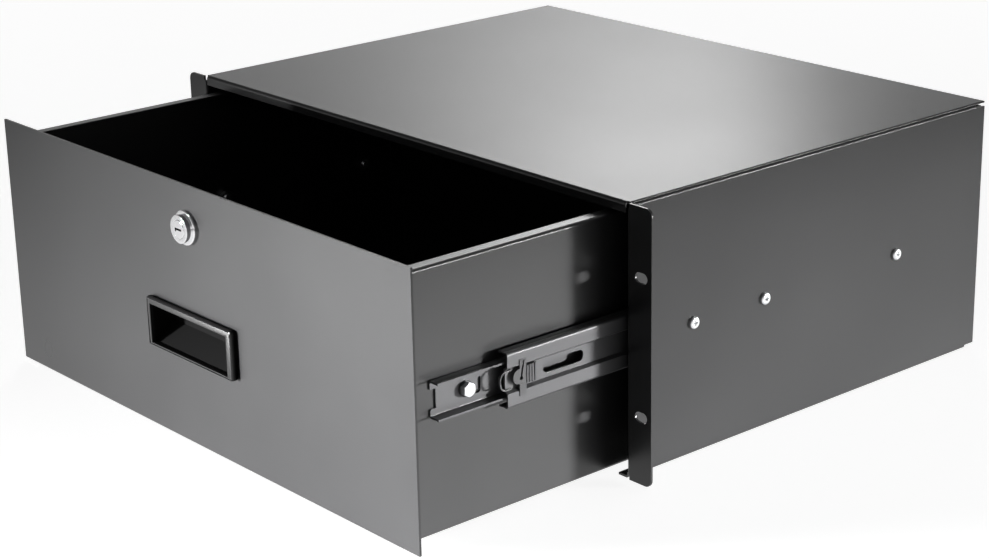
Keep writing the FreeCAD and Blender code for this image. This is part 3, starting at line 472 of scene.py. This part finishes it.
hex_low, hex_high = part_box("right_drawer_screws")
nut_low, nut_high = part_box("right_drawer_nuts")
hex_across, hex_height, hex_shank = hex_high.z - hex_low.z, 0.0035, 0.005
hex_y = hex_low.y + hex_across / 2 / math.cos(math.pi / 6)
hex_steps = (0.0, 0.117, hex_high.y - hex_low.y - 2 * (hex_y - hex_low.y))
hex_seat = hex_high.x - hex_height
hex_point, thread_play = 0.0005, 0.00005
hex_head = hex_blank(hex_across, hex_height, hex_seat, hex_y, 0.0, 1)
hex_rod = new_rod("thread", hex_shank / 2, (hex_low.x, hex_y, 0), (hex_seat, hex_y, 0), sides=24)
round_edges(hex_rod, hex_point, 1, lambda co: co.x < hex_low.x + near)
hex_screw = join("hexagon_screw", [hex_rod, hex_head])
hex_nut = hex_blank(hex_across, nut_high.x - nut_low.x, nut_high.x, hex_y, 0.0, -1)
shape(hex_nut, "DIFFERENCE", new_rod("bore", hex_shank / 2 + thread_play, (nut_low.x - past, hex_y, 0),
                                     (nut_high.x + past, hex_y, 0), sides=24))
place_on_both_sides(hex_steps, screw_zinc, (hex_screw, "hexagon_screws", "drawer_screws"),
                    (hex_nut, "hexagon_nuts", "drawer_nuts"))

# ---- rail clips ----
# A grey acetal moulding in the recess of each middle rail: a round nose with a keyhole slit, a
# ribbed block behind it, and two thin tabs hooked on the rail's face.
clip_grey = coated("clip_acetal", (0.070, 0.070, 0.073), (0.085, 0.085, 0.089), 0.35, 0.45, 0.15)
clip_low, clip_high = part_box("right_rail_clip")
clip_thickness, clip_length, nose_radius, block_half = 0.0028, 0.018, 0.0047, 0.0055
clip_floor, clip_top = clip_low.x, clip_low.x + clip_thickness
nose_y, nose_z = clip_low.y + nose_radius, 0.0009
block_low, block_high = nose_z - block_half, nose_z + block_half
clip = new_block("clip_block", (clip_floor, nose_y, block_low),
                 (clip_top, clip_low.y + clip_length, block_high))
shape(clip, "UNION", new_rod("nose", nose_radius, (clip_floor, nose_y, nose_z),
                             (clip_top, nose_y, nose_z)))
# each tab stands on a root in the recess, and reaches past it over the rail's face by the hook
tab_start, tab_length, tab_sheet = clip_low.y + 0.0048, 0.0052, 0.0005
tab_foot, tab_hook, tab_overlap = clip_high.x - tab_sheet, (clip_high.z - clip_low.z) / 2 - 0.0080, 0.0005
tab_low, tab_high = block_low + tab_overlap, block_high - tab_overlap
root_inset, root_sink = 0.0002, 0.0001
for low, high, root_low, root_high in (
        (clip_low.z, tab_low, clip_low.z + tab_hook, tab_low),
        (tab_high, clip_high.z, tab_high, clip_high.z - tab_hook)):
    shape(clip, "UNION", new_block("tab", (tab_foot, tab_start, low),
                                   (clip_high.x, tab_start + tab_length, high)))
    shape(clip, "UNION", new_block(
        "tab_root", (clip_floor + root_inset, tab_start + root_inset, root_low),
        (clip_high.x - root_sink, tab_start + tab_length - root_inset, root_high)))
# the block is ribbed for the thumb, between grooves
groove_start, groove_pitch, groove_width, groove_depth = clip_low.y + 0.0098, 0.0021, 0.0007, 0.0006
for step in range(4):
    groove_y = groove_start + step * groove_pitch
    shape(clip, "DIFFERENCE", new_block("groove", (clip_top - groove_depth, groove_y, block_low - past),
                                        (clip_top + past, groove_y + groove_width, block_high + past)))
# the slit starts in a round eye and leans back as it rises
slit_y, slit_half, slit_top, slit_lean = tab_start + 0.0013, 0.0006, clip_high.z - 0.0008, 0.0018
eye_radius, eye_z = 0.0012, nose_z - 0.0013
slit = new_block("slit", (clip_floor - past, slit_y - slit_half, eye_z),
                 (clip_high.x + past, slit_y + slit_half, slit_top))
pick(slit, "FACE", lambda co: co.z > slit_top - near)
bpy.ops.transform.translate(value=(0, slit_lean, 0))
bpy.ops.object.mode_set(mode="OBJECT")
shape(clip, "DIFFERENCE", slit)
shape(clip, "DIFFERENCE", new_rod("eye", eye_radius, (clip_floor - past, slit_y, eye_z),
                                  (clip_high.x + past, slit_y, eye_z), sides=24))
place_on_both_sides((0,), clip_grey, (clip, "acetal_clip", "rail_clip"))

# ---- pull handle ----
# One moulding in satin black nylon, pushed through the panel from the front: a chamfered bezel, a
# square-edged mouth and a cup whose floor slopes up to the back. Two lugs snap behind the panel.
handle_black = coated("satin_nylon", (0.020, 0.020, 0.021), (0.027, 0.027, 0.028), 0.36, 0.46, 0.25)
pull_low, pull_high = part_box("pull_handle")
panel_low, panel_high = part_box("front_panel")
bezel_back = panel_low.y
# inside the cup the moulding is matt from just behind the bezel's face, and there its colour is also
# darkened, as painted shade in the hollow
cup_depth_span = (pull_low.y + 0.0003, pull_low.y + 0.0030)
bezel_gloss, cup_gloss = 0.36, 0.06
bezel_rough, cup_rough = 0.25, 0.85
handle_tree = handle_black.node_tree
handle_shader = handle_tree.nodes["Principled BSDF"]
handle_place = handle_tree.nodes.new("ShaderNodeTexCoord")
handle_parts = handle_tree.nodes.new("ShaderNodeSeparateXYZ")
handle_tree.links.new(handle_place.outputs["Object"], handle_parts.inputs[0])
gloss_and_shade_mask = ramp_node(handle_tree, handle_parts.outputs["Y"], cup_depth_span, (bezel_gloss, cup_gloss))
handle_tree.links.new(gloss_and_shade_mask, handle_shader.inputs["Specular IOR Level"])
cup_roughness = ramp_node(handle_tree, gloss_and_shade_mask, (cup_gloss, bezel_gloss), (cup_rough, bezel_rough))
handle_tree.links.new(cup_roughness, handle_shader.inputs["Roughness"])
# painted shade: the cup's colour fades towards near black with depth
painted_cup_shade = handle_tree.nodes.new("ShaderNodeMix")
painted_cup_shade.data_type = "RGBA"
painted_cup_shade.inputs["A"].default_value = (0.004, 0.004, 0.004, 1.0)
handle_tree.links.new(handle_shader.inputs["Base Color"].links[0].from_socket, painted_cup_shade.inputs["B"])
handle_tree.links.new(gloss_and_shade_mask, painted_cup_shade.inputs["Factor"])
handle_tree.links.new(painted_cup_shade.outputs["Result"], handle_shader.inputs["Base Color"])

rim_left, rim_right, rim_foot, rim_top = 0.0045, 0.0055, 0.0022, 0.0046
mouth_low = Vector((pull_low.x + rim_left, bezel_back, pull_low.z + rim_foot))
mouth_high = Vector((pull_high.x - rim_right, bezel_back, pull_high.z - rim_top))
cup_wall, cup_rise, cup_taper = 0.0015, 0.011, 0.97
pull = new_block("pull_moulding", pull_low, (pull_high.x, bezel_back, pull_high.z))


def inset_to(piece, y, low, high):
    """Insets the face that lies at y to the rectangle between two corners, and keeps it picked."""
    pick(piece, "FACE", lambda co: abs(co.y - y) < near)
    outer = [vertex.co for vertex in piece.data.vertices if abs(vertex.co.y - y) < near]
    left, right = min(co.x for co in outer), max(co.x for co in outer)
    foot, top = min(co.z for co in outer), max(co.z for co in outer)
    middle = Vector(((right + left) / 2, y, (top + foot) / 2))
    rim = 0.001
    bpy.ops.mesh.inset(thickness=rim)
    bpy.ops.transform.resize(value=((high.x - low.x) / (right - left - 2 * rim), 1,
                                    (high.z - low.z) / (top - foot - 2 * rim)), center_override=middle)
    bpy.ops.transform.translate(value=((low.x + high.x) / 2 - middle.x, 0,
                                       (low.z + high.z) / 2 - middle.z))


def push_back(depth):
    bpy.ops.mesh.extrude_region_move(TRANSFORM_OT_translate={"value": (0, depth, 0)})


def narrow_cup(roof):
    """Draws the picked face in at the sides and raises its foot, under a level roof."""
    bpy.ops.transform.resize(value=(cup_taper, 1, 1 - cup_rise / (mouth_high.z - mouth_low.z)),
                             center_override=((mouth_low.x + mouth_high.x) / 2, 0, roof))
    bpy.ops.object.mode_set(mode="OBJECT")


inset_to(pull, pull_low.y, mouth_low, mouth_high)
push_back(bezel_back - pull_low.y)
push_back(pull_high.y - cup_wall - bezel_back)
narrow_cup(mouth_high.z)
cup_margin = Vector((cup_wall, 0, cup_wall))
inset_to(pull, bezel_back, mouth_low - cup_margin, mouth_high + cup_margin)
push_back(pull_high.y - bezel_back)
narrow_cup(mouth_high.z + cup_wall)


def at_corner(co):
    return (min(co.x - pull_low.x, pull_high.x - co.x) < near
            and min(co.z - pull_low.z, pull_high.z - co.z) < near)


def at_mouth(co):
    margin = 1e-4
    return (mouth_low.x - margin < co.x < mouth_high.x + margin
            and mouth_low.z - margin < co.z < mouth_high.z + margin)


corner_radius, bezel_chamfer, mouth_ease = 0.002, 0.0013, 0.0003
pick(pull, "EDGE", at_corner)
bpy.ops.object.mode_set(mode="OBJECT")
for edge in pull.data.edges:
    ends = [pull.data.vertices[index].co for index in edge.vertices]
    edge.select = edge.select and abs(ends[0].y - ends[1].y) > near
bpy.ops.object.mode_set(mode="EDIT")
bpy.ops.mesh.bevel(offset=corner_radius, segments=4, affect="EDGES")
bpy.ops.object.mode_set(mode="OBJECT")
front_edge = pull_low.y + near
round_edges(pull, bezel_chamfer, 1, lambda co: co.y < front_edge and not at_mouth(co))
round_edges(pull, mouth_ease, 2, lambda co: co.y < front_edge and at_mouth(co))

panel_sheet, lug_play, lug_height, lug_half = 0.0015, 0.0002, 0.0012, 0.005
lug_ramp, lug_narrowing = 0.15, 0.8
lug_y, lug_z = panel_low.y + panel_sheet + lug_play, (mouth_low.z + mouth_high.z) / 2
lugs = []
for start, lean in ((mouth_high.x + cup_wall, 1), (mouth_low.x - cup_wall, -1)):
    lug = new_block("snap_lug", (min(start, start + lean * lug_height), lug_y, lug_z - lug_half),
                    (max(start, start + lean * lug_height), lug_y + lug_half, lug_z + lug_half))
    pick(lug, "FACE", lambda co: co.y > lug_y + lug_half - past)
    bpy.ops.transform.resize(value=(lug_ramp, 1, lug_narrowing), center_override=(start, lug_y, lug_z))
    bpy.ops.object.mode_set(mode="OBJECT")
    lugs.append(lug)
pull = join("pull_moulding", lugs + [pull])
fit(pull, handle_black, "pull_handle", smooth=25)

# ---- lock ----
# A die-cast cylinder lock, polished and chrome plated. The housing has a stepped ring in front and
# a threaded body with two flats behind. The plug turns in it with the key, and its zinc-plated cam,
# cam screw and nut are behind the panel.
lock_chrome = coated("chrome_plate", (0.80, 0.80, 0.81), (0.88, 0.88, 0.89), 0.06, 0.12, 0.02, 1.0)
dress(screw_zinc, "lock_cam", "cam_screw", "lock_nut")
lock_low, lock_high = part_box("lock_housing")
plug_low, plug_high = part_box("lock_plug")
lock_x, lock_z = (lock_low.x + lock_high.x) / 2, (lock_low.z + lock_high.z) / 2
ring_radius, face_radius, bore_radius = (lock_high.z - lock_low.z) / 2, 0.0092, 0.00605
ring_step, bore_depth, lock_sides = 0.0038, 0.004, 72
flange_face = lock_low.y + ring_step


def lock_point(y):
    return (lock_x, y, lock_z)


def lock_distance(co):
    return math.hypot(co.x - lock_x, co.z - lock_z)


ring = new_rod("lock_ring", ring_radius, lock_point(flange_face), lock_point(panel_low.y), lock_sides)
pick(ring, "FACE", lambda co: co.y < flange_face + near)
bpy.ops.mesh.inset(thickness=ring_radius - face_radius)
push_back(-ring_step)
bpy.ops.mesh.inset(thickness=face_radius - bore_radius)
push_back(bore_depth)
bpy.ops.object.mode_set(mode="OBJECT")
flange_round, face_round = 0.0009, 0.0003
round_edges(ring, flange_round, 4, lambda co: lock_distance(co) > ring_radius - near
            and co.y < flange_face + near)
round_edges(ring, face_round, 3, lambda co: co.y < lock_low.y + near)
barrel_radius, barrel_ease, barrel_flat = 0.0093, 0.0004, 0.0082
barrel = new_rod("lock_barrel", barrel_radius, lock_point(panel_low.y), lock_point(lock_high.y), lock_sides)
round_edges(barrel, barrel_ease, 1, lambda co: co.y > lock_high.y - near)
for way in (-1, 1):
    pick(barrel, "FACE", lambda co: True)
    bpy.ops.mesh.bisect(plane_co=(0, 0, lock_z + way * barrel_flat), plane_no=(0, 0, way),
                        use_fill=True, clear_outer=True)
    bpy.ops.object.mode_set(mode="OBJECT")
shape(barrel, "DIFFERENCE", new_rod("bore", bore_radius, lock_point(panel_low.y - past),
                                    lock_point(lock_high.y + past), lock_sides))
fit(join("lock_cylinder", [barrel, ring]), lock_chrome, "lock_housing")

plug_radius, plug_round, tapped_radius, cut_depth = 0.006, 0.0005, 0.00205, 0.008
keyway_half, keyway_lip, ward_end, ward_foot = 0.0035, 0.0007, 0.0022, 0.0017
plug = new_rod("lock_core", plug_radius, lock_point(plug_low.y), lock_point(plug_high.y), lock_sides)
round_edges(plug, plug_round, 3, lambda co: co.y < plug_low.y + near)
keyway = new_block("keyway", (lock_x - keyway_half, plug_low.y - past, lock_z - keyway_lip),
                   (lock_x + keyway_half, plug_low.y + cut_depth, lock_z + keyway_lip))
ward = new_block("ward", (lock_x - keyway_half, plug_low.y - past, lock_z - ward_foot),
                 (lock_x - ward_end, plug_low.y + cut_depth, lock_z))
shape(plug, "DIFFERENCE", keyway)
shape(plug, "DIFFERENCE", ward)
shape(plug, "DIFFERENCE", new_rod("tapped_hole", tapped_radius, lock_point(plug_high.y - cut_depth),
                                  lock_point(plug_high.y + past), sides=24))
fit(plug, lock_chrome, "lock_plug")
